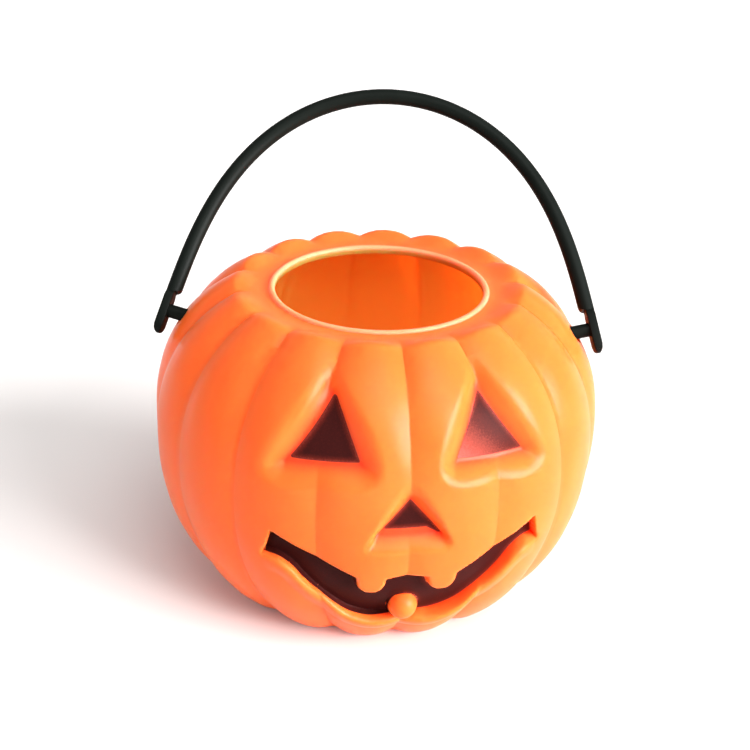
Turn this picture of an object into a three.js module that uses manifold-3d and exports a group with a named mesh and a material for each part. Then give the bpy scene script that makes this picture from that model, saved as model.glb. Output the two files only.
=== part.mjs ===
// Trick-or-treat bucket: a ribbed pumpkin pail, blow moulded in one piece with a recessed and
// painted face, and a black moulded strap handle that snaps into two holes in its shoulder.
// Millimetres, +Z up. The origin is the middle of the base, on the ground. The face looks along -Y.

import * as THREE from 'three';
import { mergeVertices } from 'three/addons/utils/BufferGeometryUtils.js';
import Module from 'manifold-3d';

const wasm = await Module();
wasm.setup();

// Pumpkin body, measured over the crests of its ribs
const BODY_RADIUS = 62.5;
const WIDEST_HEIGHT = 49;
const CROWN_REACH = 48.4;
const CROWN_POWER = 2.33;
const BELLY_REACH = 61.4;
const BELLY_POWER = 2.2;
const WALL = 1.5;

// Ribs: sharp grooves with a full round crest between each two
const RIB_COUNT = 16;
const GROOVE_DEPTH = 2;
const WAIST_SHARE = 0.55;
const WAIST_DROP = 4;
const WAIST_SPREAD = 18;
const RIB_ROUNDNESS = 2.2;

// Base: a flat seat with a rounded edge up to the belly
const BASE_EDGE_HEIGHT = 2;
const SEAT_RADIUS = 37.5;
const SEAT_BLEND = 4;

// Collar and the rolled lip round the opening
const COLLAR_RADIUS = 41;
const COLLAR_DROP = 1.3;
const COLLAR_BLEND = 3;
const OPENING_RADIUS = 28.7;
const LIP_WIDTH = 1.6;
const LIP_RISE = 0.8;

// Face: depths below the crests of the ribs, and outlines as seen from the front, as pairs of a
// distance from the middle and a rise above the widest height
const EYE_DEPTH = 4.3;
const NOSE_DEPTH = 4.3;
const MOUTH_DEPTH = 3.4;
const EYE_FLOOR = [[18.3, 29.3], [12.1, 14.4], [30.5, 12.9]];
const EYE_EDGE = [[18.2, 35], [7.4, 10.5], [36.2, 9.1]];
const EYE_FLOOR_CORNER = 0.9;
const EYE_EDGE_CORNER = 2.8;
const NOSE_FLOOR = [[0, 5.5], [-8, -4.5], [8, -4.5]];
const NOSE_EDGE = [[0, 10], [-11.2, -7.2], [11.2, -7.2]];
const NOSE_FLOOR_CORNER = 0.8;
const NOSE_EDGE_CORNER = 2.2;
const MOUTH_UPPER = [[34.4, -5.9], [29, -8.7], [23.3, -11.5], [17, -14.7], [13.2, -16.8]];
const MOUTH_UPPER_MIDDLE = [[5.4, -17.1], [0, -16.5]];
const MOUTH_LOWER = [
  [0, -33.8], [4.6, -33.8], [8.8, -33.5], [14, -31.4], [18, -28.2], [22.6, -23.7],
  [26.2, -19.6], [28.9, -16.2], [32.2, -14.1], [36, -13.8],
];
const TOOTH_PLACE = 9.3;
const TOOTH_WIDTH = 7.4;
const TOOTH_RISE = -22.1;
const LOWER_TOOTH_RADIUS = 4;
const LOWER_TOOTH_RISE = -29.2;
const LOWER_TOOTH_PROUD = 0.9;
const LOWER_LIP_RADIUS = 2.9;
const LOWER_LIP_PROUD = 1;
const LOWER_LIP_DROP = 2.4;

// Paint in the recesses
const PAINT_THICKNESS = 0.35;
const PAINT_GAP = 0.3;
const PAINT_MARGIN = 0.35;

// Handle: a round strap sprung into an arch, with a flat tab and a snap peg at each end
const HINGE_RISE = 27.1;
const HANDLE_LEAN = 40;
const STRAP_DIAMETER = 4.4;
const STRAP_END_ANGLE = 75.7;
const TAB_THICKNESS = 2.45;
const TAB_WIDTH = 5.3;
const TAB_ABOVE_PEG = 5.2;
const TAB_BELOW_PEG = 7;
const TAB_STEP = 0.35;
const TAB_CLEARANCE = 2.1;
const TAB_TIP_SHARE = 0.9;
const SHOULDER_START = 0.3;
const SHOULDER_HEIGHT = 1.6;
const PEG_DIAMETER = 3.8;
const PEG_CLEARANCE = 0.6;
const PEG_HEAD_DIAMETER = 5.5;
const PEG_HEAD_LENGTH = 2.4;
const PEG_HEAD_CHAMFER = 0.4;
const PEG_HEAD_RIM = 0.6;
const PEG_NECK_SPARE = 3.5;

// Fineness of the curved surfaces
const SEGMENTS_PER_RIB = 6;
const CAVITY_SEGMENTS_PER_RIB = 3;
const BODY_ROWS = 16;
const CAVITY_ROWS = 10;
const FLOOR_SEGMENTS = 48;
const FLOOR_ROWS = 14;
const CORNER_STEPS = 4;
const STRAP_SIDES = 12;
const STRAP_STEPS = 40;

const FINISH = {
  shell: { color: 0xff7a2e, roughness: 0.38, metalness: 0 },
  paint: { color: 0x3d1d1c, roughness: 0.25, metalness: 0 },
  handle: { color: 0x171614, roughness: 0.42, metalness: 0 },
};

// Solids

function signedVolume(position, index) {
  const [a, b, c] = [new THREE.Vector3(), new THREE.Vector3(), new THREE.Vector3()];
  let volume = 0;
  for (let i = 0; i < index.count; i += 3) {
    a.fromBufferAttribute(position, index.getX(i));
    b.fromBufferAttribute(position, index.getX(i + 1));
    c.fromBufferAttribute(position, index.getX(i + 2));
    volume += a.dot(b.cross(c)) / 6;
  }
  return volume;
}

// A closed three.js geometry as a solid, turned the right way out.
function solid(geometry) {
  const bare = geometry.clone();
  bare.deleteAttribute('normal');
  bare.deleteAttribute('uv');
  const merged = mergeVertices(bare, 1e-4);
  const corners = [];
  const inward = signedVolume(merged.attributes.position, merged.index) < 0;
  for (let i = 0; i < merged.index.count; i += 3) {
    const [a, b, c] = [0, 1, 2].map((k) => merged.index.getX(i + k));
    if (a === b || b === c || c === a) continue;
    corners.push(a, inward ? c : b, inward ? b : c);
  }
  return new wasm.Manifold(new wasm.Mesh({
    numProp: 3,
    vertProperties: new Float32Array(merged.attributes.position.array),
    triVerts: new Uint32Array(corners),
  }));
}

function geometryOf(body) {
  const mesh = body.getMesh();
  const geometry = new THREE.BufferGeometry();
  geometry.setAttribute('position', new THREE.BufferAttribute(mesh.vertProperties, 3));
  geometry.setIndex(new THREE.BufferAttribute(mesh.triVerts, 1));
  geometry.computeVertexNormals();
  return geometry;
}

// A solid skinned over rings of equally many points, each end closed by a cap seen from the front.
function loft(rings) {
  const count = rings[0].length;
  const index = [];
  for (let ring = 0; ring + 1 < rings.length; ring += 1) {
    for (let i = 0; i < count; i += 1) {
      const next = (i + 1) % count;
      const [a, b] = [ring * count + i, ring * count + next];
      index.push(a, b, b + count, a, b + count, a + count);
    }
  }
  const flat = rings[0].map((p) => new THREE.Vector2(p.x, p.z));
  const last = (rings.length - 1) * count;
  for (const [a, b, c] of THREE.ShapeUtils.triangulateShape(flat, [])) {
    index.push(a, c, b);
  }
  const flatEnd = rings.at(-1).map((p) => new THREE.Vector2(p.x, p.z));
  for (const [a, b, c] of THREE.ShapeUtils.triangulateShape(flatEnd, [])) {
    index.push(last + a, last + b, last + c);
  }
  const geometry = new THREE.BufferGeometry().setFromPoints(rings.flat());
  geometry.setIndex(index);
  return solid(geometry);
}

// Body shape

function crestRadius(height) {
  const above = height > WIDEST_HEIGHT;
  const reach = above ? CROWN_REACH : BELLY_REACH;
  const power = above ? CROWN_POWER : BELLY_POWER;
  const share = Math.min(Math.abs(height - WIDEST_HEIGHT) / reach, 1);
  return BODY_RADIUS * (1 - share ** power) ** (1 / power);
}

const hingeHeight = WIDEST_HEIGHT + HINGE_RISE;
const crownHeight = WIDEST_HEIGHT
  + CROWN_REACH * (1 - (COLLAR_RADIUS / BODY_RADIUS) ** CROWN_POWER) ** (1 / CROWN_POWER);
const collarHeight = crownHeight - COLLAR_DROP;
const lipRadius = OPENING_RADIUS + LIP_WIDTH;
const lipTop = collarHeight + LIP_RISE;

// Points at even spacing along a run of points.
function evenly(points, count) {
  const path = new THREE.CurvePath();
  for (let i = 0; i + 1 < points.length; i += 1) {
    path.add(new THREE.LineCurve(points[i], points[i + 1]));
  }
  return path.getSpacedPoints(count);
}

function crestLine(rows) {
  const fine = [];
  for (let i = 0; i <= 400; i += 1) {
    const height = BASE_EDGE_HEIGHT + (crownHeight - BASE_EDGE_HEIGHT) * (i / 400);
    fine.push(new THREE.Vector2(crestRadius(height), height));
  }
  return evenly(fine, rows);
}

const faceLine = crestLine(100);

// The rounded edge from the seat up to the belly.
function baseEdge(belly, steps) {
  const slope = (belly[1].x - belly[0].x) / (belly[1].y - belly[0].y);
  const foot = new THREE.Vector2(belly[0].x - slope * belly[0].y, 0);
  const seat = new THREE.Vector2(SEAT_RADIUS, 0);
  return new THREE.QuadraticBezierCurve(seat, foot, belly[0]).getPoints(steps).slice(0, -1);
}

// The shoulder of each rib rolls over and dies into the flat collar.
function collarBlend(crown, steps) {
  const end = crown.at(-1);
  const rise = end.clone().sub(crown.at(-2)).normalize();
  const inner = new THREE.Vector2(lipRadius + LIP_WIDTH, collarHeight);
  const first = end.clone().addScaledVector(rise, COLLAR_BLEND);
  const second = new THREE.Vector2((end.x + inner.x) / 2, collarHeight);
  return new THREE.CubicBezierCurve(end, first, second, inner).getPoints(steps).slice(1);
}

function grooveShare(radius, height) {
  const waist = (height - WIDEST_HEIGHT + WAIST_DROP) / WAIST_SPREAD;
  const share = 1 - (1 - WAIST_SHARE) * Math.exp(-waist * waist);
  const onTop = height > WIDEST_HEIGHT;
  const start = onTop ? lipRadius + 2 * LIP_WIDTH : SEAT_RADIUS;
  const full = onTop ? COLLAR_RADIUS : SEAT_RADIUS + SEAT_BLEND;
  return share * THREE.MathUtils.smoothstep(radius, start, full);
}

// Stations along the profile from the seat to the collar: a point, its outward normal and how
// deep the grooves are there.
function profileStations(rows) {
  const crown = crestLine(rows);
  const steps = Math.round(rows / 6) + 1;
  const points = [...baseEdge(crown, steps - 1), ...crown, ...collarBlend(crown, steps)];
  return points.map((point, i) => {
    const before = points[Math.max(i - 1, 0)];
    const after = points[Math.min(i + 1, points.length - 1)];
    const along = after.clone().sub(before).normalize();
    const normal = i === 0 ? new THREE.Vector2(0, -1) : new THREE.Vector2(along.y, -along.x);
    return { point, normal, groove: GROOVE_DEPTH * grooveShare(point.x, point.y) };
  });
}

// A revolve whose wall dips into a groove between each two ribs. Points without a normal stay round.
function ribbedRevolve(stations, segmentsPerRib) {
  const points = stations.map((station) => station.point);
  const segments = RIB_COUNT * segmentsPerRib;
  const lathe = new THREE.LatheGeometry(points, segments);
  const position = lathe.attributes.position;
  for (let segment = 0; segment <= segments; segment += 1) {
    const angle = (segment % segments) * (2 * Math.PI / segments);
    const fromCrest = Math.abs(2 * (segment % segmentsPerRib) / segmentsPerRib - 1);
    stations.forEach((station, row) => {
      const dip = (station.groove ?? 0) * fromCrest ** RIB_ROUNDNESS;
      const radius = station.point.x - dip * (station.normal?.x ?? 0);
      const height = station.point.y - dip * (station.normal?.y ?? 0);
      const vertex = segment * stations.length + row;
      position.setXYZ(vertex, radius * Math.sin(angle), -radius * Math.cos(angle), height);
    });
  }
  return solid(lathe);
}

const at = (radius, height) => ({ point: new THREE.Vector2(radius, height) });

function outerBody() {
  return ribbedRevolve([
    at(0, 0),
    ...profileStations(BODY_ROWS),
    at(lipRadius, collarHeight),
    at(lipRadius, lipTop - LIP_RISE / 3),
    at(lipRadius - LIP_WIDTH / 3, lipTop),
    at(0, lipTop),
  ], SEGMENTS_PER_RIB);
}

function cavityBody() {
  const inner = profileStations(CAVITY_ROWS).map((station) => ({
    ...station,
    point: station.point.clone().addScaledVector(station.normal, -WALL),
  }));
  return ribbedRevolve([
    at(0, WALL),
    ...inner,
    at(OPENING_RADIUS, collarHeight - WALL),
    at(OPENING_RADIUS, lipTop - LIP_RISE),
    at(OPENING_RADIUS + LIP_WIDTH / 3, lipTop),
    at(OPENING_RADIUS + LIP_WIDTH / 3, lipTop + WALL),
    at(0, lipTop + WALL),
  ], CAVITY_SEGMENTS_PER_RIB);
}

// The body without grooves, a given depth below its crests.
function smoothBody(depth) {
  const stations = profileStations(FLOOR_ROWS);
  const points = stations.map(({ point, normal }) => point.clone().addScaledVector(normal, -depth));
  points.unshift(new THREE.Vector2(0, points[0].y));
  points.push(new THREE.Vector2(0, points.at(-1).y));
  return solid(new THREE.LatheGeometry(points, FLOOR_SEGMENTS).rotateX(Math.PI / 2));
}

// A point of the face, given as seen from the front, on the surface a given depth below the crests.
function onFace(x, height, depth) {
  let reach = 0;
  let gap = Infinity;
  for (let i = 1; i + 1 < faceLine.length; i += 1) {
    const along = faceLine[i + 1].clone().sub(faceLine[i - 1]).normalize();
    const rest = height - (faceLine[i].y + depth * along.x);
    if (Math.abs(rest) < gap) {
      gap = Math.abs(rest);
      reach = faceLine[i].x - depth * along.y + rest * (along.x / along.y);
    }
  }
  const round = Math.max(reach, Math.abs(x));
  return new THREE.Vector3(x, -Math.sqrt(round * round - x * x), height);
}

// Face outlines

const facePoint = ([x, rise]) => new THREE.Vector2(x, WIDEST_HEIGHT + rise);
const mirrored = (corners) => corners.map(([x, rise]) => [-x, rise]).reverse();

// A polygon with its corners rounded to arcs, each of the same number of steps.
function rounded(corners, radius) {
  const points = corners.map(facePoint);
  return points.flatMap((corner, i) => {
    const before = points.at(i - 1).clone().sub(corner).normalize();
    const after = points[(i + 1) % points.length].clone().sub(corner).normalize();
    const half = before.angleTo(after) / 2;
    const middle = before.clone().add(after).setLength(radius / Math.sin(half)).add(corner);
    const cut = radius / Math.tan(half);
    const first = corner.clone().addScaledVector(before, cut).sub(middle);
    const last = corner.clone().addScaledVector(after, cut).sub(middle);
    const sweep = Math.atan2(first.cross(last), first.dot(last));
    return Array.from({ length: CORNER_STEPS + 1 }, (_, step) => (
      first.clone().rotateAround(new THREE.Vector2(), sweep * (step / CORNER_STEPS)).add(middle)
    ));
  });
}

// The mouth runs round both upper teeth, or straight past them.
function mouthOutline(teeth) {
  const right = [...MOUTH_LOWER, ...MOUTH_UPPER];
  if (teeth) {
    const side = TOOTH_WIDTH / 2;
    for (let step = 1; step < 2 * CORNER_STEPS; step += 1) {
      const turn = Math.PI * (step / (2 * CORNER_STEPS));
      right.push([TOOTH_PLACE + side * Math.cos(turn), TOOTH_RISE + side * (1 - Math.sin(turn))]);
    }
  }
  right.push(...MOUTH_UPPER_MIDDLE);
  return [...right, ...mirrored(right.slice(1, -1))].map(facePoint);
}

// Moves an outline outwards by a margin, or inwards where the margin is negative.
function grown(outline, margin) {
  const turning = Math.sign(THREE.ShapeUtils.area(outline));
  return outline.map((point, i) => {
    const before = point.clone().sub(outline.at(i - 1)).normalize();
    const after = outline[(i + 1) % outline.length].clone().sub(point).normalize();
    const along = before.add(after).normalize();
    return point.clone().add(new THREE.Vector2(along.y, -along.x).multiplyScalar(turning * margin));
  });
}

// A solid that fills a recess from its floor out past the face, with walls that open outwards.
function recessFill({ floor, edge, depth }, margin, below) {
  const ring = (level) => {
    const share = Math.max(1 - level / depth, 0);
    return floor.map((point, i) => point.clone().lerp(edge[i], share));
  };
  const onto = (level) => grown(ring(level), margin).map((p) => onFace(p.x, p.y, level));
  const outside = onto(-1.5 * LOWER_LIP_PROUD);
  const front = outside.map((p) => new THREE.Vector3(p.x, -1.2 * BODY_RADIUS, p.z));
  return loft([front, outside, onto(depth / 2), onto(depth), onto(depth + below)]);
}

const eye = {
  floor: rounded(EYE_FLOOR, EYE_FLOOR_CORNER),
  edge: rounded(EYE_EDGE, EYE_EDGE_CORNER),
  depth: EYE_DEPTH,
};
const otherEye = {
  floor: rounded(mirrored(EYE_FLOOR), EYE_FLOOR_CORNER),
  edge: rounded(mirrored(EYE_EDGE), EYE_EDGE_CORNER),
  depth: EYE_DEPTH,
};
const nose = {
  floor: rounded(NOSE_FLOOR, NOSE_FLOOR_CORNER),
  edge: rounded(NOSE_EDGE, NOSE_EDGE_CORNER),
  depth: NOSE_DEPTH,
};
const cutStraight = (outline, depth) => ({ floor: outline, edge: outline, depth });
const mouth = cutStraight(mouthOutline(true), MOUTH_DEPTH);
const plainMouth = cutStraight(mouthOutline(false), MOUTH_DEPTH);

function recessCutter(recess) {
  return recessFill(recess, 0, WALL).subtract(smoothBody(recess.depth));
}

// What the recess pushes into the hollow, one wall thicker than the recess itself.
function recessBacking(recess) {
  return recessFill(recess, WALL, 2 * WALL).subtract(smoothBody(recess.depth + WALL));
}

function paintCoat(recess) {
  const under = recess.depth - PAINT_GAP;
  return recessFill(recess, -PAINT_MARGIN, WALL)
    .intersect(smoothBody(under - PAINT_THICKNESS))
    .subtract(smoothBody(under));
}

// Shell

// The lower tooth is a ball, with a margin of room round it where its own size is grown.
function lowerTooth(margin) {
  const height = WIDEST_HEIGHT + LOWER_TOOTH_RISE;
  const front = onFace(0, height, -LOWER_TOOTH_PROUD);
  const ball = new THREE.SphereGeometry(LOWER_TOOTH_RADIUS + margin, 14, 10);
  return solid(ball.rotateX(Math.PI / 2).translate(0, front.y + LOWER_TOOTH_RADIUS, height));
}

// The rolled lower lip, which follows the ribs along the lower edge of the mouth and sinks into the
// cheek at each end.
function lowerLip() {
  const half = MOUTH_LOWER.map(([x, rise]) => [x, rise - LOWER_LIP_DROP]);
  const run = [...mirrored(half.slice(1)), ...half].map(facePoint);
  const path = evenly(new THREE.SplineCurve(run).getPoints(120), 64).map((p) => {
    const sink = 2 * LOWER_LIP_RADIUS * Math.abs(p.x / run[0].x) ** 10;
    const middle = onFace(p.x, p.y, LOWER_LIP_RADIUS - LOWER_LIP_PROUD + sink);
    const turn = Math.atan2(middle.x, -middle.y) * RIB_COUNT / (2 * Math.PI);
    const fromCrest = Math.abs(2 * (turn - Math.floor(turn)) - 1);
    const dip = GROOVE_DEPTH * WAIST_SHARE * fromCrest ** RIB_ROUNDNESS;
    const inward = new THREE.Vector3(-middle.x, -middle.y, 0).normalize();
    return middle.addScaledVector(inward, dip);
  });
  const section = new THREE.Shape().absarc(0, 0, LOWER_LIP_RADIUS, 0, 2 * Math.PI);
  return solid(new THREE.ExtrudeGeometry(section, {
    steps: 32,
    curveSegments: 10,
    bevelEnabled: false,
    extrudePath: new THREE.CatmullRomCurve3(path),
  }));
}

const hingeTurn = Math.PI / RIB_COUNT;
const hingeRadius = crestRadius(hingeHeight);

function pegHoles() {
  const radius = PEG_DIAMETER / 2 + PEG_CLEARANCE;
  const drill = new THREE.CylinderGeometry(radius, radius, 3 * BODY_RADIUS, 24);
  return solid(drill.rotateZ(Math.PI / 2).rotateZ(-hingeTurn).translate(0, 0, hingeHeight));
}

function pumpkinShell() {
  let body = outerBody().add(lowerLip());
  for (const recess of [eye, otherEye, nose, mouth]) {
    body = body.subtract(recessCutter(recess));
  }
  body = body.add(lowerTooth(0));
  let hollow = cavityBody();
  for (const recess of [eye, otherEye, nose, plainMouth]) {
    hollow = hollow.subtract(recessBacking(recess));
  }
  return body.subtract(hollow).subtract(pegHoles());
}

// Handle, built upright with its hinge axis along X through the origin

const endAngle = THREE.MathUtils.degToRad(STRAP_END_ANGLE);
const splay = Math.PI / 2 - endAngle;
const pegCrossing = hingeRadius - WALL;
const strapRadius = STRAP_DIAMETER / 2;
const tabOuter = strapRadius - TAB_STEP;
const tabInner = tabOuter - TAB_THICKNESS;

// The middle of each tab stands clear of the belly below it, on a peg that slopes down to the wall
// and crosses the hinge axis at the wall's inner face.
function tabPlace() {
  let out = hingeRadius + TAB_CLEARANCE;
  let up = 0;
  for (let pass = 0; pass < 8; pass += 1) {
    up = (out - pegCrossing) * Math.tan(splay);
    const tip = up - TAB_BELOW_PEG * Math.cos(splay) + tabInner * Math.sin(splay);
    const belly = crestRadius(hingeHeight + tip);
    out = belly + TAB_CLEARANCE - TAB_BELOW_PEG * Math.sin(splay) - tabInner * Math.cos(splay);
  }
  return { out, up };
}

const tab = tabPlace();
const pegReach = (tab.out - pegCrossing) / Math.cos(splay);

// A strap sprung by its ends alone bends so that its slope follows a sine.
function strapLine(count) {
  const places = [new THREE.Vector2(0, 0)];
  const step = 1 / count;
  for (let i = 0; i < count; i += 1) {
    const slope = -endAngle * Math.sin(Math.PI * ((i + 0.5) * step - 0.5));
    const last = places.at(-1);
    places.push(new THREE.Vector2(last.x + step * Math.cos(slope), last.y + step * Math.sin(slope)));
  }
  const scale = 2 * tab.out / places.at(-1).x;
  return places.map((p) => new THREE.Vector3(p.x * scale - tab.out, 0, p.y * scale + tab.up));
}

const strapCurve = new THREE.CatmullRomCurve3(strapLine(160));

function strap() {
  const length = strapCurve.getLength();
  const ends = TAB_ABOVE_PEG / length;
  const kept = [];
  for (let i = 0; i <= STRAP_STEPS; i += 1) {
    kept.push(strapCurve.getPointAt(ends + (1 - 2 * ends) * (i / STRAP_STEPS)));
  }
  const section = new THREE.Shape().absarc(0, 0, strapRadius, 0, 2 * Math.PI);
  return solid(new THREE.ExtrudeGeometry(section, {
    steps: STRAP_STEPS,
    curveSegments: STRAP_SIDES,
    bevelEnabled: false,
    extrudePath: new THREE.CatmullRomCurve3(kept),
  }));
}

// A plate with the outline given in its own X and Z, across the strap.
function across(corners, width) {
  const shape = new THREE.Shape(corners.map(([x, z]) => new THREE.Vector2(x, z)));
  const plate = new THREE.ExtrudeGeometry(shape, { depth: width, bevelEnabled: false });
  return plate.translate(0, 0, -width / 2).rotateX(Math.PI / 2);
}

// Tab seen from the side: straight faces, drawn in to a rounded tip below.
function tabSide() {
  const tip = -TAB_BELOW_PEG;
  const middle = (tabInner + tabOuter) / 2;
  const half = TAB_THICKNESS / 2;
  const reach = TAB_TIP_SHARE * half;
  const corners = [[tabOuter, TAB_ABOVE_PEG + strapRadius / 2], [tabOuter, tip + half + reach / 2]];
  for (let step = 1; step < CORNER_STEPS + 2; step += 1) {
    const turn = Math.PI * (step / (CORNER_STEPS + 2));
    corners.push([middle + reach * Math.cos(turn), tip + half * (1 - Math.sin(turn))]);
  }
  corners.push([tabInner, tip + half + reach], [tabInner, TAB_ABOVE_PEG + strapRadius / 2]);
  return solid(across(corners, TAB_WIDTH));
}

// Tab seen from outside: parallel edges with round ends.
function tabFront() {
  const half = TAB_WIDTH / 2;
  const top = TAB_ABOVE_PEG + strapRadius / 2;
  const outline = new THREE.Shape();
  outline.moveTo(-half, -TAB_BELOW_PEG + half);
  outline.absarc(0, -TAB_BELOW_PEG + half, half, Math.PI, 2 * Math.PI);
  outline.lineTo(half, TAB_ABOVE_PEG - half / 2);
  outline.lineTo(half / 2, top);
  outline.lineTo(-half / 2, top);
  outline.lineTo(-half, TAB_ABOVE_PEG - half / 2);
  const options = { depth: 4 * TAB_THICKNESS, bevelEnabled: false, curveSegments: 6 };
  const plate = new THREE.ExtrudeGeometry(outline, options).translate(0, 0, -2 * TAB_THICKNESS);
  return solid(plate.rotateX(Math.PI / 2).rotateZ(Math.PI / 2));
}

// The strap is cut away on its inner side above the tab, in a hollow slant.
function shoulderCut() {
  const far = -2 * strapRadius;
  const below = TAB_ABOVE_PEG - SHOULDER_HEIGHT;
  const start = TAB_ABOVE_PEG + SHOULDER_START;
  return across([
    [far, below],
    [tabInner, below],
    [tabInner, start],
    [(tabInner - strapRadius) / 2, start + 0.4 * SHOULDER_HEIGHT],
    [-strapRadius, start + SHOULDER_HEIGHT],
    [far, start + SHOULDER_HEIGHT],
  ], 2 * TAB_WIDTH);
}

// The peg runs square to the tab through the wall and ends in a snap head inside.
function pegShape() {
  const neck = pegReach + PEG_NECK_SPARE;
  const shaft = PEG_DIAMETER / 2;
  const head = PEG_HEAD_DIAMETER / 2;
  const rim = neck + PEG_HEAD_CHAMFER;
  const end = neck + PEG_HEAD_LENGTH;
  const profile = [
    [0, 0], [shaft, 0], [shaft, neck], [head, rim], [head, rim + PEG_HEAD_RIM],
    [shaft * 0.8, end], [0, end],
  ].map(([radius, along]) => new THREE.Vector2(radius, along));
  return new THREE.LatheGeometry(profile, 14).rotateZ(Math.PI / 2);
}

// Turns a right-hand end fitting from its own axes to its place on the strap, or mirrors it.
function fitted(geometry, side) {
  const placed = geometry.clone().rotateY(-splay).translate(tab.out, 0, tab.up);
  return solid(side > 0 ? placed : placed.scale(-1, 1, 1));
}

function carryHandle() {
  const plate = geometryOf(tabSide().intersect(tabFront()));
  let body = strap();
  for (const side of [-1, 1]) {
    body = body.subtract(fitted(shoulderCut(), side));
    body = body.add(fitted(plate, side));
    body = body.add(fitted(pegShape(), side));
  }
  return body;
}

// Assembly

function piece(name, body, finish) {
  const mesh = new THREE.Mesh(geometryOf(body), new THREE.MeshStandardMaterial(finish));
  mesh.name = name;
  return mesh;
}

const bucket = new THREE.Group();
bucket.add(piece('pumpkin_shell', pumpkinShell(), FINISH.shell));
bucket.add(piece('right_eye_paint', paintCoat(eye), FINISH.paint));
bucket.add(piece('left_eye_paint', paintCoat(otherEye), FINISH.paint));
bucket.add(piece('nose_paint', paintCoat(nose), FINISH.paint));

// The mouth's paint stops short of the lower tooth.
const mouthCoat = paintCoat(mouth).subtract(lowerTooth(PAINT_MARGIN));
bucket.add(piece('mouth_paint', mouthCoat, FINISH.paint));

const hinge = new THREE.Group();
hinge.position.z = hingeHeight;
hinge.rotation.z = -hingeTurn;
const handle = piece('carry_handle', carryHandle(), FINISH.handle);
handle.rotation.x = -THREE.MathUtils.degToRad(HANDLE_LEAN);
hinge.add(handle);
bucket.add(hinge);

export default bucket;
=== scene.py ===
import math

import bmesh
import bpy
import numpy as np
from mathutils import Matrix, Vector


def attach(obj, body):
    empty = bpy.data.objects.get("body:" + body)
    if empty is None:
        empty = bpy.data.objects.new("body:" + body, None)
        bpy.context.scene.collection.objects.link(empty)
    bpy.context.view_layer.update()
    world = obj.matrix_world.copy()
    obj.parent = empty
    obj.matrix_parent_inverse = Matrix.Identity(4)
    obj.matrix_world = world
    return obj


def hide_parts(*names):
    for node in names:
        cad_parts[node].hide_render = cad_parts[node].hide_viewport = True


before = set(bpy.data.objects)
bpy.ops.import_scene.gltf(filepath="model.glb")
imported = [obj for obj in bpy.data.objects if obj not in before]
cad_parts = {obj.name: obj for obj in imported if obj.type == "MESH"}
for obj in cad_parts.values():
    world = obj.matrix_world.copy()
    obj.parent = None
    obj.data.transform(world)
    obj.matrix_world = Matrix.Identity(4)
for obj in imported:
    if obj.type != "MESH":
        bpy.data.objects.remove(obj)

bl_info = {
    "name": "Trick-or-treat bucket",
    "version": (1, 0, 0),
    "blender": (4, 5, 0),
    "location": "View3D > Sidebar > Bucket",
    "description": "Blow-moulded pumpkin bucket with a painted face and a snap-in strap handle",
    "category": "Object",
}

MM = 0.001

# Pumpkin body over the crests of its ribs, as the CAD part has it
BODY_RADIUS = 62.5 * MM
WIDEST_HEIGHT = 49 * MM
CROWN_REACH = 48.4 * MM
CROWN_POWER = 2.33
BELLY_REACH = 61.4 * MM
BELLY_POWER = 2.2
RIB_COUNT = 16
RIB_ROUNDNESS = 2.2
WAIST_SHARE = 0.55
WAIST_SPREAD = 18 * MM
WAIST_DROP = 4 * MM
BASE_EDGE_HEIGHT = 2 * MM
SEAT_RADIUS = 37.5 * MM
SEAT_BLEND = 4 * MM
COLLAR_RADIUS = 41 * MM
COLLAR_DROP = 1.3 * MM
COLLAR_BLEND = 3 * MM
OPENING_RADIUS = 28.7 * MM
LIP_WIDTH = 1.6 * MM
LIP_RISE = 0.8 * MM

# Face outlines as seen from the front, in millimetres: a distance from the middle and a rise
# above the widest height
EYE_FLOOR = [(18.3, 29.3), (12.1, 14.4), (30.5, 12.9)]
EYE_RIM = [
    (18.4, 34.8), (15.9, 32.3), (12.9, 28), (10.3, 23.2), (8.4, 18.4), (7.8, 14.8), (9.2, 12),
    (13, 10.4), (20, 10.2), (28, 9.1), (33.6, 8.9), (36.1, 10.6), (35.8, 14.2), (30.2, 23),
    (24.2, 29.8),
]
NOSE_FLOOR = [(0, 5.5), (-8, -4.5), (8, -4.5)]
NOSE_RIM = [
    (0, 10.2), (-5, 5), (-9, -2.2), (-10.7, -6), (-9.6, -7.6), (-5, -7.8), (0, -7.8),
    (5, -7.8), (9.6, -7.6), (10.7, -6), (9, -2.2), (5, 5),
]
MOUTH_UPPER = [(34.4, -5.9), (29, -8.7), (23.3, -11.5), (17, -14.7), (13.2, -16.8)]
MOUTH_MIDDLE = [(5.4, -17.1), (0, -16.5)]
MOUTH_LOWER = [
    (0, -33.8), (4.6, -33.8), (8.8, -33.5), (14, -31.4), (18, -28.2), (22.6, -23.7),
    (26.2, -19.6), (28.9, -16.2), (32.2, -14.1), (36, -13.8),
]
RIGHT_EYE_PAINT = [(18.8, 28.2), (12.6, 15.4), (29.8, 13.9)]
LEFT_EYE_PAINT = [(-17.5, 29), (-28.7, 14.4), (-12.8, 15.4)]
NOSE_PAINT = [(0.1, 5.3), (-6, -2.5), (4.6, -2.3), (7.9, -4.3)]
TOOTH_PLACE = 9.3
TOOTH_RADIUS = 3.7
TOOTH_RISE = -22.1
LOWER_TOOTH_RADIUS = 4 * MM
LOWER_TOOTH_HEIGHT = WIDEST_HEIGHT - 29.2 * MM
LOWER_TOOTH_PROUD = 0.9 * MM
LIP_ROLL_DROP = 2.4 * MM
LIP_ROLL_HALF_WIDTH = 3.2 * MM
MOUTH_EDGE_RADIUS = 0.8 * MM
LIP_EDGE_RADIUS = 1.8 * MM
MOUTH_WALL_WIDTH = 0.6 * MM
THINNEST_FUNNEL = 0.5 * MM

# How far points of the mesh are drawn onto the mouth's edge
EDGE_PULL = 0.28 * MM

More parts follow.
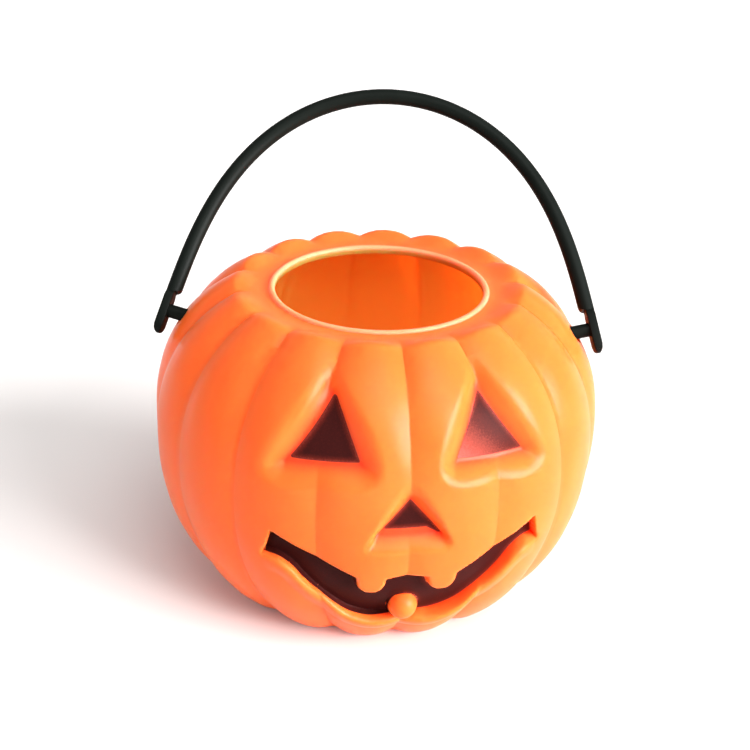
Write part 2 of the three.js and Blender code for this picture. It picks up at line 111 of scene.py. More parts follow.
# Paint: how far its corners are rounded out, and how wide its thin rim is
PAINT_CORNER = 0.35 * MM
PAINT_RIM = 1.5 * MM

# Heights between which the face is drawn
FACE_FOOT = 6 * MM
FACE_TOP = 86 * MM

# Handle, from its hinge axis outwards
HINGE_HEIGHT = WIDEST_HEIGHT + 27.1 * MM
HINGE_TURN = math.pi / RIB_COUNT
HANDLE_LEAN = math.radians(40)
STRAP_END_ANGLE = math.radians(75.7)
SPLAY = math.pi / 2 - STRAP_END_ANGLE
TAB_THICKNESS = 2.45 * MM
TAB_WIDTH = 5.3 * MM
TAB_ABOVE_PEG = 5.2 * MM
TAB_BELOW_PEG = 7 * MM
TAB_STEP = 0.35 * MM
TAB_CLEARANCE = 2.1 * MM
PEG_DIAMETER = 3.8 * MM
PEG_CLEARANCE = 0.6 * MM
PEG_HEAD_DIAMETER = 5.5 * MM
PEG_HEAD_LENGTH = 2.4 * MM
PEG_NECK_SPARE = 3.5 * MM

# Fineness of the shell's mesh
FACE_STEPS_PER_RIB = 56
BACK_STEPS_PER_RIB = 8
FACE_RIBS = 2
CREST_ROWS = 208
INNER_ROWS = 40
SEAT_RINGS = 7

# The photograph's camera
CAMERA_TURN = math.radians(-9.2)
CAMERA_RISE = math.radians(26.6)
CAMERA_ROLL = math.radians(1.77)
CAMERA_DISTANCE = 425 * MM
CAMERA_AIM = Vector((-0.4 * MM, 0, 60.4 * MM))
CAMERA_LENS = 72
CAMERA_SENSOR = 36


class ShellSettings(bpy.types.PropertyGroup):
    """Sizes and colours of the blow-moulded shell and its painted face"""

    wall: bpy.props.FloatProperty(
        name="Wall", description="Thickness of the plastic", default=1.5 * MM, unit="LENGTH")
    groove_depth: bpy.props.FloatProperty(
        name="Groove depth", description="Depth of the grooves between the ribs",
        default=2 * MM, unit="LENGTH")
    eye_depth: bpy.props.FloatProperty(
        name="Eye depth", description="Depth of the eyes and the nose below the rib crests",
        default=4.3 * MM, unit="LENGTH")
    mouth_depth: bpy.props.FloatProperty(
        name="Mouth depth", description="Depth of the mouth below the rib crests",
        default=3.4 * MM, unit="LENGTH")
    lip_proud: bpy.props.FloatProperty(
        name="Lower lip", description="How far the rolled lower lip stands out",
        default=1 * MM, unit="LENGTH")
    plastic: bpy.props.StringProperty(
        name="Plastic", description="Colour of the plastic as sRGB hex", default="#FF5E22")
    paint: bpy.props.StringProperty(
        name="Paint", description="Colour of the face paint as sRGB hex", default="#2E0F0E")
    paint_height: bpy.props.FloatProperty(
        name="Paint height", description="How far the paint stands on the plastic",
        default=0.08 * MM, unit="LENGTH")


class HandleSettings(bpy.types.PropertyGroup):
    """Sizes and colour of the strap handle"""

    strap_diameter: bpy.props.FloatProperty(
        name="Strap", description="Diameter of the round strap", default=4.4 * MM, unit="LENGTH")
    edge_round: bpy.props.FloatProperty(
        name="Edge round", description="Rounding of the tab's edges", default=0.3 * MM,
        unit="LENGTH")
    plastic: bpy.props.StringProperty(
        name="Plastic", description="Colour of the handle as sRGB hex", default="#0A0D0B")


class StageSettings(bpy.types.PropertyGroup):
    """Floor, light and camera"""

    floor: bpy.props.StringProperty(
        name="Floor", description="Colour of the floor as sRGB hex", default="#D6D3D1")
    key: bpy.props.FloatProperty(
        name="Window", description="Strength of the light from the right", default=10.2, min=0)
    fill: bpy.props.FloatProperty(
        name="Ceiling", description="Strength of the light from above", default=1.6, min=0)
    sky: bpy.props.FloatProperty(
        name="Sky", description="Strength of the light from all round", default=0.58, min=0)


# Body shape

def crest_radius(height):
    above = height > WIDEST_HEIGHT
    reach = np.where(above, CROWN_REACH, BELLY_REACH)
    power = np.where(above, CROWN_POWER, BELLY_POWER)
    share = np.clip(np.abs(height - WIDEST_HEIGHT) / reach, 0, 1)
    return BODY_RADIUS * (1 - share ** power) ** (1 / power)


CROWN_HEIGHT = WIDEST_HEIGHT + CROWN_REACH * (
    1 - (COLLAR_RADIUS / BODY_RADIUS) ** CROWN_POWER) ** (1 / CROWN_POWER)
COLLAR_HEIGHT = CROWN_HEIGHT - COLLAR_DROP
LIP_RADIUS = OPENING_RADIUS + LIP_WIDTH
LIP_TOP = COLLAR_HEIGHT + LIP_RISE


def evenly(points, count):
    """Points at even spacing along a run of points."""
    steps = np.hypot(*np.diff(points, axis=0).T)
    run = np.concatenate([[0], np.cumsum(steps)])
    places = np.linspace(0, run[-1], count + 1)
    return np.stack([np.interp(places, run, points[:, k]) for k in range(2)], axis=1)


def bezier(controls, count):
    t = np.linspace(0, 1, count + 1)[:, None]
    points = [np.array(c, float)[None, :] for c in controls]
    while len(points) > 1:
        points = [a * (1 - t) + b * t for a, b in zip(points, points[1:])]
    return points[0]


def normals_along(points):
    along = np.gradient(points, axis=0)
    along /= np.hypot(*along.T)[:, None]
    return np.stack([along[:, 1], -along[:, 0]], axis=1)


def crest_line(rows):
    heights = np.linspace(BASE_EDGE_HEIGHT, CROWN_HEIGHT, 2000)
    return evenly(np.stack([crest_radius(heights), heights], axis=1), rows)


def outer_line(rows):
    """The crest profile from the seat over the belly and the crown to the foot of the lip."""
    crest = crest_line(rows)
    slope = (crest[1] - crest[0])[0] / (crest[1] - crest[0])[1]
    foot = (crest[0][0] - slope * crest[0][1], 0)
    edge = bezier([(SEAT_RADIUS, 0), foot, crest[0]], rows // 30)
    rise = (crest[-1] - crest[-2]) / np.hypot(*(crest[-1] - crest[-2]))
    inner = np.array([LIP_RADIUS + LIP_WIDTH, COLLAR_HEIGHT])
    middle = ((crest[-1][0] + inner[0]) / 2, COLLAR_HEIGHT)
    blend = bezier([crest[-1], crest[-1] + rise * COLLAR_BLEND, middle, inner], rows // 12)
    return np.concatenate([edge[:-1], crest, blend[1:]])


def smoothstep(low, high, value):
    t = np.clip((value - low) / (high - low), 0, 1)
    return t * t * (3 - 2 * t)


def groove_share(radius, height):
    waist = (height - WIDEST_HEIGHT + WAIST_DROP) / WAIST_SPREAD
    share = 1 - (1 - WAIST_SHARE) * np.exp(-waist ** 2)
    top = smoothstep(LIP_RADIUS + 2 * LIP_WIDTH, COLLAR_RADIUS, radius)
    bottom = smoothstep(SEAT_RADIUS, SEAT_RADIUS + SEAT_BLEND, radius)
    return share * np.where(height > WIDEST_HEIGHT, top, bottom)


def from_crest(angle):
    """0 on the crest of a rib, 1 in a groove."""
    turn = angle * RIB_COUNT / (2 * math.pi)
    return np.abs(2 * (turn - np.floor(turn)) - 1)


class Body:
    """Points of the body by height, and of the surfaces that lie below its crests."""

    def __init__(self, groove_depth):
        self.groove_depth = groove_depth
        line = outer_line(600)
        line = line[: np.argmax(line[:, 1]) + 1]
        self.heights = line[:, 1]
        self.radii = line[:, 0]
        self.normals = normals_along(line)

    def at(self, height, values):
        return np.interp(height, self.heights, values)

    def dip(self, angle, radius, height):
        share = groove_share(radius, height)
        return self.groove_depth * share * from_crest(angle) ** RIB_ROUNDNESS

    def below(self, x, z, depth):
        """Y of the face at x and z on the surface a given depth below the crests, and the crest
        height that it belongs to."""
        height = z
        for _ in range(4):
            height = z + depth * self.at(height, self.normals[:, 1])
        reach = self.at(height, self.radii) - depth * self.at(height, self.normals[:, 0])
        return -np.sqrt(np.maximum(reach ** 2 - x ** 2, 0)), height

    def ribbed(self, x, z, extra):
        """Depth below the crests of the ribbed surface at x and z, extra deeper than it."""
        depth = np.full_like(x, extra)
        for _ in range(4):
            y, height = self.below(x, z, depth)
            radius = self.at(height, self.radii)
            depth = extra + self.dip(np.arctan2(x, -y), radius, height)
        return depth


# Face shape

def outline_distance(x, z, outline):
    """Signed distance from a closed outline, positive inside, and the nearest point on it."""
    points = np.asarray(outline, float)
    best = np.full_like(x, np.inf)
    nearest = np.zeros((2, *x.shape))
    inside = np.zeros(x.shape, bool)
    for a, b in zip(points, np.roll(points, -1, axis=0)):
        side = b - a
        share = np.clip(((x - a[0]) * side[0] + (z - a[1]) * side[1]) / (side @ side), 0, 1)
        px, pz = a[0] + share * side[0], a[1] + share * side[1]
        gap = np.hypot(x - px, z - pz)
        closer = gap < best
        best = np.where(closer, gap, best)
        nearest = np.where(closer, (px, pz), nearest)
        if a[1] != b[1]:
            crossing = a[0] + (z - a[1]) / (b[1] - a[1]) * side[0]
            inside ^= ((z < a[1]) != (z < b[1])) & (x < crossing)
    return np.where(inside, best, -best), nearest


def line_distance(x, z, points):
    """Distance from an open line."""
    best = np.full_like(x, np.inf)
    for a, b in zip(points, points[1:]):
        side = b - a
        share = np.clip(((x - a[0]) * side[0] + (z - a[1]) * side[1]) / (side @ side), 0, 1)
        best = np.minimum(best, np.hypot(x - a[0] - share * side[0], z - a[1] - share * side[1]))
    return best


def funnel(x, z, floor, rim, grow):
    """0 on the floor of a funnel-shaped recess, 1 at its rim, and more outside."""
    outside = -outline_distance(x, z, floor)[0] - grow
    within = outline_distance(x, z, rim)[0] + grow
    return np.maximum(outside, 0) / np.maximum(outside + within, THINNEST_FUNNEL)


def soft_ramp(value, low_round, high_round):
    """A ramp from 0 to 1 whose two ends are rounded off."""
    def soft_max(a, b, k):
        return np.maximum(a, b) + np.maximum(k - np.abs(a - b), 0) ** 2 / (4 * k)
    return -soft_max(-soft_max(value, 0, low_round), -1, high_round)


def to_metres(points):
    return [(px * MM, WIDEST_HEIGHT + rise * MM) for px, rise in points]


def smooth_run(points, count):
    """A smooth line through points, as a Catmull-Rom spline."""
    p = np.asarray(points, float)
    p = np.concatenate([[2 * p[0] - p[1]], p, [2 * p[-1] - p[-2]]])
    out = []
    for i in range(1, len(p) - 2):
        for t in np.linspace(0, 1, count, endpoint=False):
            out.append(0.5 * (
                2 * p[i] + (p[i + 1] - p[i - 1]) * t
                + (2 * p[i - 1] - 5 * p[i] + 4 * p[i + 1] - p[i + 2]) * t ** 2
                + (3 * p[i] - p[i - 1] - 3 * p[i + 1] + p[i + 2]) * t ** 3))
    out.append(p[-2])
    return np.array(out)


def closed_run(points, count):
    """A smooth closed line through points."""
    p = list(points)
    run = smooth_run(p[-2:] + p + p[:2], count)
    return to_metres(run[2 * count:-count - 1])


def mouth_outline():
    half = [tuple(p) for p in smooth_run(MOUTH_LOWER, 6)]
    half += [tuple(p) for p in smooth_run(MOUTH_UPPER, 4)]
    for turn in np.linspace(0, math.pi, 25)[1:-1]:
        half.append((TOOTH_PLACE + TOOTH_RADIUS * math.cos(turn),
                     TOOTH_RISE + TOOTH_RADIUS * (1 - math.sin(turn))))
    half += MOUTH_MIDDLE
    other = [(-px, pz) for px, pz in half[1:-1]]
    return np.array(to_metres(half + other[::-1]))


def lip_line():
    half = np.array(to_metres(smooth_run(MOUTH_LOWER, 6)))
    half[:, 1] -= LIP_ROLL_DROP
    other = half[1:][::-1] * (-1, 1)
    return np.concatenate([other, half])


class Face:
    """Depth of the face below the crests of the ribs, by x and z."""

    def __init__(self, body, settings):
        self.body = body
        self.settings = settings
        self.mouth = mouth_outline()
        self.lip = lip_line()
        self.funnels = []
        for side in (1, -1):
            self.funnels.append([to_metres([(side * px, pz) for px, pz in EYE_FLOOR]),
                                 closed_run([(side * px, pz) for px, pz in EYE_RIM], 3)])
        self.funnels.append([to_metres(NOSE_FLOOR), closed_run(NOSE_RIM, 3)])

    def recess(self, x, z, grow):
        """Share of the full depth and the depth itself for each recess."""
        for floor, rim in self.funnels:
            level = funnel(x, z, floor, rim, grow)
            yield soft_ramp(1 - level, 0.4, 0.13), self.settings.eye_depth
        inside, _ = outline_distance(x, z, self.mouth)
        inside = inside + grow
        over_lip = 1 - smoothstep(3 * MM, 6 * MM, line_distance(x, z, self.lip))
        r = MOUTH_EDGE_RADIUS + (LIP_EDGE_RADIUS - MOUTH_EDGE_RADIUS) * over_lip
        depth = self.settings.mouth_depth
        over_edge = r - np.sqrt(np.maximum(r ** 2 - np.clip(inside + r, 0, r) ** 2, 0))
        down = np.clip(inside / MOUTH_WALL_WIDTH, 0, 1) * (depth - r)
        yield (over_edge + down) / depth, depth

    def onto_edge(self, x, z):
        """Draws points near the mouth's edge onto it, or onto the foot of its wall."""
        inside, nearest = outline_distance(x, z, self.mouth)
        level = np.where(inside > MOUTH_WALL_WIDTH / 2, MOUTH_WALL_WIDTH, 0)
        near = (np.abs(inside - level) < EDGE_PULL) & (np.abs(inside) > 1e-7)
        share = np.where(near, level / np.where(near, inside, 1), 1)
        return nearest[0] + (x - nearest[0]) * share, nearest[1] + (z - nearest[1]) * share

    def depth(self, x, z, wall):
        """Depth below the crests, for the outside, or for the inside where a wall is given."""
        bare = self.body.ribbed(x, z, wall)
        if not wall:
            gap = line_distance(x, z, self.lip) / LIP_ROLL_HALF_WIDTH
            end = np.clip(1 - (np.abs(x) / self.lip[-1][0]) ** 10, 0, 1)
            bare = bare - self.settings.lip_proud * end * np.maximum(1 - gap ** 2, 0) ** 1.5
        total = bare
        for share, full in self.recess(x, z, wall):
            total = total + (full + wall - bare) * share
        return total

    def points(self, x, z, wall, lift=0.0):
        depth = self.depth(x, z, wall) - lift
        y, _ = self.body.below(x, z, depth)
        if not wall:
            ball = LOWER_TOOTH_RADIUS + lift
            front, _ = self.body.below(np.zeros(1), np.full(1, LOWER_TOOTH_HEIGHT),
                                       np.full(1, -LOWER_TOOTH_PROUD))
            middle = front[0] + LOWER_TOOTH_RADIUS
            out = ball ** 2 - x ** 2 - (z - LOWER_TOOTH_HEIGHT) ** 2
            y = np.where(out > 0, np.minimum(y, middle - np.sqrt(np.maximum(out, 0))), y)
        return np.stack([x, y, z], axis=-1)


# Meshes

def mesh_object(name, vertices, faces):
    mesh = bpy.data.meshes.new(name)
    mesh.from_pydata([tuple(v) for v in vertices], [], faces)
    mesh.shade_smooth()
    mesh.update()
    piece = bpy.data.objects.new(name, mesh)
    bpy.context.scene.collection.objects.link(piece)
    return piece


def grid_faces(rows, columns, wrap):
    faces = []
    for row in range(rows - 1):
        for column in range(columns if wrap else columns - 1):
            after = (column + 1) % columns
            faces.append((row * columns + column, row * columns + after,
                          (row + 1) * columns + after, (row + 1) * columns + column))
    return faces


def combine(piece, other, operation):
    """Joins, cuts or keeps the common part of two closed pieces, and removes the second."""
    modifier = piece.modifiers.new("combine", "BOOLEAN")
    modifier.operation = operation
    modifier.solver = "MANIFOLD"
    modifier.object = other
    bpy.context.view_layer.update()
    result = piece.evaluated_get(bpy.context.evaluated_depsgraph_get())
    mesh = bpy.data.meshes.new_from_object(result)
    piece.modifiers.clear()
    old = piece.data
    piece.data = mesh
    bpy.data.meshes.remove(old)
    bpy.data.objects.remove(other)
    if not piece.data.polygons:
        raise RuntimeError(f"{piece.name}: nothing is left after {operation}")
    return piece


def spun(name, profile, steps):
    """A closed piece turned round the X axis. The profile runs from axis to axis."""
    turns = np.linspace(0, 2 * math.pi, steps, endpoint=False)
    inner = profile[1:-1]
    vertices = [(profile[0][1], 0, 0), (profile[-1][1], 0, 0)]
    for radius, along in inner:
        vertices += [(along, radius * math.cos(t), radius * math.sin(t)) for t in turns]
    faces = [tuple(i + 2 for i in face) for face in grid_faces(len(inner), steps, True)]
    last = 2 + (len(inner) - 1) * steps
    for i in range(steps):
        j = (i + 1) % steps
        faces.append((0, 2 + j, 2 + i))
        faces.append((1, last + i, last + j))
    piece = mesh_object(name, vertices, faces)
    outwards(piece)
    return piece


def outwards(piece):
    work = bmesh.new()
    work.from_mesh(piece.data)
    bmesh.ops.recalc_face_normals(work, faces=work.faces)
    if work.calc_volume(signed=True) < 0:
        bmesh.ops.reverse_faces(work, faces=work.faces)
    work.to_mesh(piece.data)
    work.free()


def prism(name, corners, width, axis):
    """A plate with its outline across Y, or across X, and its thickness along that axis."""
    work = bmesh.new()
    rings = []
    for offset in (-width / 2, width / 2):
        places = [(a, offset, b) if axis == "Y" else (offset, a, b) for a, b in corners]
        rings.append([work.verts.new(place) for place in places])
    work.faces.new(rings[0])
    work.faces.new(rings[1][::-1])
    for i in range(len(corners)):
        j = (i + 1) % len(corners)
        work.faces.new((rings[0][i], rings[1][i], rings[1][j], rings[0][j]))
    mesh = bpy.data.meshes.new(name)
    work.to_mesh(mesh)
    work.free()
    piece = bpy.data.objects.new(name, mesh)
    bpy.context.scene.collection.objects.link(piece)
    outwards(piece)
    return piece


def dress(piece, material):
    """Gives a piece its one material. A combined mesh brings an empty slot of its own."""
    piece.data.materials.clear()
    piece.data.materials.append(material)


def transform(piece, matrix):
    piece.data.transform(matrix)
    if matrix.determinant() < 0:
        piece.data.flip_normals()
    return piece


# Materials

def linear(hex_colour):
    """An sRGB hex colour as linear RGBA."""
    parts = [int(hex_colour[i:i + 2], 16) / 255 for i in (1, 3, 5)]
    return [p / 12.92 if p <= 0.04045 else ((p + 0.055) / 1.055) ** 2.4 for p in parts] + [1]


def new_material(name):
    material = bpy.data.materials.new(name)
    material.use_nodes = True
    material.node_tree.nodes.clear()
    return material


def add_node(tree, kind, settings=None, inputs=None):
    """Adds a node with its settings. An input is a value, or a (node, output) pair to link."""
    node = tree.nodes.new(kind)
    for key, value in (settings or {}).items():
        setattr(node, key, value)
    for key, value in (inputs or {}).items():
        if isinstance(value, tuple) and isinstance(value[0], bpy.types.Node):
            tree.links.new(value[0].outputs[value[1]], node.inputs[key])
        else:
            node.inputs[key].default_value = value
    return node


def moulded_polyethylene(colour):
    """Blow-moulded polyethylene: satin, slightly translucent, a faint orange-peel skin."""
    material = new_material("blow_moulded_polyethylene")
    tree = material.node_tree
    place = add_node(tree, "ShaderNodeTexCoord")
    # The mark read here tints the walls round each recess and inside the mouth red: mostly painted
    # shade and bounce light in the recesses, partly speckled paint mist.
    recess_shade_and_spray = add_node(tree, "ShaderNodeAttribute", {"attribute_name": "recess_shade_and_overspray"})
    speck = add_node(tree, "ShaderNodeTexNoise", None, {
        "Vector": (place, "Object"), "Scale": 1 / (0.9 * MM), "Detail": 3.0, "Roughness": 0.7})
    shade_and_mist = add_node(tree, "ShaderNodeMath", {"operation": "MULTIPLY_ADD"}, {
        0: (speck, "Fac"), 1: 0.3, 2: -0.15})
    shade_and_mist_speckled = add_node(tree, "ShaderNodeMath", {"operation": "ADD"}, {
        0: (recess_shade_and_spray, "Fac"), 1: (shade_and_mist, "Value")})
    shade_and_mist_ramp = add_node(tree, "ShaderNodeMapRange", {"interpolation_type": "SMOOTHSTEP"}, {
        "Value": (shade_and_mist_speckled, "Value"), "From Min": 0.05, "From Max": 1.0})
    bare = add_node(tree, "ShaderNodeMath", {"operation": "MULTIPLY"}, {
        0: (shade_and_mist_ramp, "Result"), 1: (recess_shade_and_spray, "Fac")})
    cloud = add_node(tree, "ShaderNodeTexNoise", None, {
        "Vector": (place, "Object"), "Scale": 1 / (16 * MM), "Detail": 2.0})
    base = add_node(tree, "ShaderNodeMix", {"data_type": "RGBA"}, {
        0: (cloud, "Fac"), 6: linear(colour), 7: linear("#FF682A")})
    # Red painted shade for the recess walls, partly paint mist.
    recess_shaded = add_node(tree, "ShaderNodeMix", {"data_type": "RGBA"}, {
        0: (bare, "Value"), 6: (base, 2), 7: linear("#EE4420")})
    peel = add_node(tree, "ShaderNodeTexNoise", None, {
        "Vector": (place, "Object"), "Scale": 1 / (2.4 * MM), "Detail": 3.0, "Roughness": 0.55})
    bump = add_node(tree, "ShaderNodeBump", None, {
        "Height": (peel, "Fac"), "Strength": 0.25, "Distance": 0.05 * MM})
    rough = add_node(tree, "ShaderNodeMapRange", None, {
        "Value": (cloud, "Fac"), "To Min": 0.26, "To Max": 0.36})
    inside = add_node(tree, "ShaderNodeAttribute", {"attribute_name": "inside"})
    lip_painted_highlight = add_node(tree, "ShaderNodeAttribute", {"attribute_name": "lip_painted_highlight"})
    # The inside is painted lighter: a painted glow of light through the thin wall.
    inside_glow_mixed = add_node(tree, "ShaderNodeMix", {"data_type": "RGBA"}, {
        0: (inside, "Fac"), 6: (recess_shaded, 2), 7: linear("#FF6E2C")})
    # The lip bead is painted paler: a painted highlight and glow of light through the thin bead.
    lip_highlighted = add_node(tree, "ShaderNodeMix", {"data_type": "RGBA"}, {
        0: (lip_painted_highlight, "Fac"), 6: (inside_glow_mixed, 2), 7: linear("#FF8662")})
    reach = add_node(tree, "ShaderNodeMix", {"data_type": "VECTOR"}, {
        0: (inside, "Fac"), 4: (4 * MM, 3.6 * MM, 2.4 * MM), 5: (120 * MM, 8 * MM, 5 * MM)})
    shader = add_node(tree, "ShaderNodeBsdfPrincipled", None, {
        "Base Color": (lip_highlighted, 2), "Roughness": (rough, "Result"), "IOR": 1.51,
        "Specular IOR Level": 0.12, "Subsurface Weight": 1.0,
        "Subsurface Radius": (reach, 1), "Subsurface Scale": 1.0,
        "Normal": (bump, "Normal")})
    add_node(tree, "ShaderNodeOutputMaterial", None, {"Surface": (shader, "BSDF")})
    return material


def sprayed_enamel(colour):
    """Sprayed gloss enamel: nearly black brown, thin and reddish where it feathers out."""
    material = new_material("sprayed_gloss_enamel")
    tree = material.node_tree
    place = add_node(tree, "ShaderNodeTexCoord")
    paint_paleness = add_node(tree, "ShaderNodeAttribute", {"attribute_name": "paint_paleness"})
    speck = add_node(tree, "ShaderNodeTexNoise", None, {
        "Vector": (place, "Object"), "Scale": 1 / (0.45 * MM), "Detail": 4.0, "Roughness": 0.75})
    shift = add_node(tree, "ShaderNodeMath", {"operation": "MULTIPLY_ADD"}, {
        0: (speck, "Fac"), 1: 0.5, 2: (paint_paleness, "Fac")})
    pale_share = add_node(tree, "ShaderNodeMapRange", None, {
        "Value": (shift, "Value"), "From Min": 0.25, "From Max": 1.25})
    tone = add_node(tree, "ShaderNodeValToRGB", None, {0: (pale_share, "Result")})
    ramp = tone.color_ramp
    ramp.elements[0].color = linear(colour)
    ramp.elements[1].color = linear("#8A524A")
    for place_on_ramp, shade in ((0.3, "#4A1712"), (0.62, "#85352A")):
        ramp.elements.new(place_on_ramp).color = linear(shade)
    bump = add_node(tree, "ShaderNodeBump", None, {
        "Height": (speck, "Fac"), "Strength": 0.3, "Distance": 0.04 * MM})
    shader = add_node(tree, "ShaderNodeBsdfPrincipled", None, {
        "Base Color": (tone, "Color"), "Roughness": 0.38, "IOR": 1.5, "Specular IOR Level": 0.03,
        "Normal": (bump, "Normal")})
    add_node(tree, "ShaderNodeOutputMaterial", None, {"Surface": (shader, "BSDF")})
    return material


def moulded_polypropylene(colour):
    """Injection-moulded polypropylene: black, satin, a fine tool grain."""
    material = new_material("injection_moulded_polypropylene")
    tree = material.node_tree
    place = add_node(tree, "ShaderNodeTexCoord")
    grain = add_node(tree, "ShaderNodeTexNoise", None, {
        "Vector": (place, "Object"), "Scale": 1 / (0.6 * MM), "Detail": 3.0})
    wear = add_node(tree, "ShaderNodeTexNoise", None, {
        "Vector": (place, "Object"), "Scale": 1 / (9 * MM), "Detail": 2.0})
    tone = add_node(tree, "ShaderNodeMix", {"data_type": "RGBA"}, {
        0: (wear, "Fac"), 6: linear(colour), 7: linear("#111512")})
    rough = add_node(tree, "ShaderNodeMapRange", None, {
        "Value": (wear, "Fac"), "To Min": 0.40, "To Max": 0.50})
    bump = add_node(tree, "ShaderNodeBump", None, {
        "Height": (grain, "Fac"), "Strength": 0.3, "Distance": 0.03 * MM})
    shader = add_node(tree, "ShaderNodeBsdfPrincipled", None, {
        "Base Color": (tone, 2), "Roughness": (rough, "Result"), "IOR": 1.49,
        "Specular IOR Level": 0.05, "Normal": (bump, "Normal")})
    add_node(tree, "ShaderNodeOutputMaterial", None, {"Surface": (shader, "BSDF")})
    return material


# Shell

def ring_angles():
    """Columns of the shell's mesh: fine over the face, coarser behind, one in every groove."""
    pitch = 2 * math.pi / RIB_COUNT
    face = np.linspace(-FACE_RIBS, FACE_RIBS, 2 * FACE_RIBS * FACE_STEPS_PER_RIB + 1)
    half = np.linspace(0, 1, BACK_STEPS_PER_RIB // 2 + 1)
    half = half ** 1.5 / 2
    rib = np.concatenate([half, 1 - half[-2:0:-1]])
    ribs = np.arange(FACE_RIBS, RIB_COUNT - FACE_RIBS)
    back = (ribs[:, None] + rib[None, :]).ravel()
    return np.concatenate([face, back[1:]]) * pitch, len(face)


def lip_bead():
    """The rolled lip's round top, from its foot outside to the opening."""
    middle = OPENING_RADIUS + LIP_WIDTH / 2
    half = LIP_WIDTH / 2
    turns = np.linspace(0, math.pi, 13)
    top = LIP_TOP - half * 0.9
    return [(LIP_RADIUS + 0.25 * MM, COLLAR_HEIGHT)] + [
        (middle + half * math.cos(t), top + half * 0.9 * math.sin(t)) for t in turns]


def build_shell(settings):
    body = Body(settings.groove_depth)
    face = Face(body, settings)
    angles, face_columns = ring_angles()
    outer = outer_line(CREST_ROWS)
    inner = outer_line(INNER_ROWS)[::-1]
    rows = []

    def ring(radius, height):
        return np.stack([radius * np.sin(angles), -radius * np.cos(angles),
                         np.broadcast_to(height, angles.shape)], axis=1)

    def wall_rows(line, wall):
        normals = normals_along(line) if not wall else -normals_along(line)
        for (radius, height), (out, up) in zip(line, normals):
            depth = wall + body.dip(angles, radius, height)
            points = ring(radius - depth * out, height - depth * up)
            if FACE_FOOT < height < FACE_TOP:
                x, z = points[:face_columns, 0], points[:face_columns, 2]
                if not wall:
                    x, z = face.onto_edge(x, z)
                points[:face_columns] = face.points(x, z, wall)
            rows.append(points)

    for radius in np.linspace(0, SEAT_RADIUS, SEAT_RINGS + 2)[1:-1]:
        rows.append(ring(radius, 0))
    wall_rows(outer, 0.0)
    for radius, height in lip_bead():
        rows.append(ring(radius, height))
    for height in (COLLAR_HEIGHT - 0.7 * MM, COLLAR_HEIGHT - settings.wall):
        rows.append(ring(OPENING_RADIUS + 0.1 * MM, height))
    wall_rows(inner, settings.wall)
    for radius in np.linspace(SEAT_RADIUS - settings.wall, 0, 7)[:-1]:
        rows.append(ring(radius, settings.wall))

    count = len(angles)
    vertices = np.concatenate([[(0, 0, 0), (0, 0, settings.wall)], *rows])
    faces = [tuple(i + 2 for i in quad) for quad in grid_faces(len(rows), count, True)]
    last = 2 + (len(rows) - 1) * count
    for i in range(count):
        j = (i + 1) % count
        faces.append((0, 2 + j, 2 + i))
        faces.append((1, last + i, last + j))
    shell = mesh_object("shell", vertices, faces)
    outwards(shell)
    lip_start = SEAT_RINGS + len(outer)
    inner_start = lip_start + len(lip_bead())
    row = np.concatenate([[0, len(rows)], np.repeat(np.arange(len(rows)), count)])
    # The inside is painted lighter, as a painted glow of light through the wall. The inner floor is
    # left out, because light that passes through it is lost in the ground
    above_floor = smoothstep(6 * MM, 30 * MM, vertices[:, 2])
    add_mark(shell, "inside", (row >= inner_start) * above_floor)
    # Marks the lip bead for its painted highlight.
    add_mark(shell, "lip_painted_highlight", (row > lip_start) & (row < inner_start))
    cut_peg_holes(shell)
    add_recess_shade_and_overspray(shell, face)
    return shell, face


def add_mark(piece, name, values):
    """Writes one number for each point of a mesh, for its material to read."""
    mark = piece.data.attributes.new(name, "FLOAT", "POINT")
    mark.data.foreach_set("value", np.asarray(values, float))


def hinge_place():
    """The frame of the hinge: its axis runs along X before the turn."""
    return Matrix.Translation((0, 0, HINGE_HEIGHT)) @ Matrix.Rotation(-HINGE_TURN, 4, "Z")


def cut_peg_holes(shell):
    radius = PEG_DIAMETER / 2 + PEG_CLEARANCE
    reach = 1.3 * BODY_RADIUS
    drill = spun("drill", [(0, -reach), (radius, -reach), (radius, reach), (0, reach)], 40)
    transform(drill, hinge_place())
    combine(shell, drill, "DIFFERENCE")
    shell.data.shade_smooth()
    shell.data.set_sharp_from_angle(angle=math.radians(50))


def add_recess_shade_and_overspray(shell, face):
    """Marks a red tint on the walls round each recess and inside the mouth: mostly painted shade
    and bounce light, partly paint mist.
    """
    count = len(shell.data.vertices)
    place = np.empty(count * 3)
    shell.data.vertices.foreach_get("co", place)
    place = place.reshape(-1, 3)
    value = np.zeros(count)
    near = (place[:, 1] < -0.03) & (place[:, 2] > 0.008) & (place[:, 2] < 0.088)
    x, z = place[near, 0], place[near, 2]
    shade_and_mist = np.zeros_like(x)
    for floor, rim in face.funnels:
        shade_and_mist = np.maximum(shade_and_mist, np.clip(1.0 - 1.3 * funnel(x, z, floor, rim, 0.0), 0, 1))
    inside, _ = outline_distance(x, z, face.mouth)
    tooth = np.hypot(x, z - LOWER_TOOTH_HEIGHT) > LOWER_TOOTH_RADIUS
    # In the mouth: painted shade on the wall that the paint leaves bare, the lower tooth kept
    # clear.
    shade_and_mist = np.maximum(shade_and_mist, np.clip(inside / (0.6 * MM), 0, 0.8)) * tooth
    value[near] = shade_and_mist
    add_mark(shell, "recess_shade_and_overspray", value)


# Paint

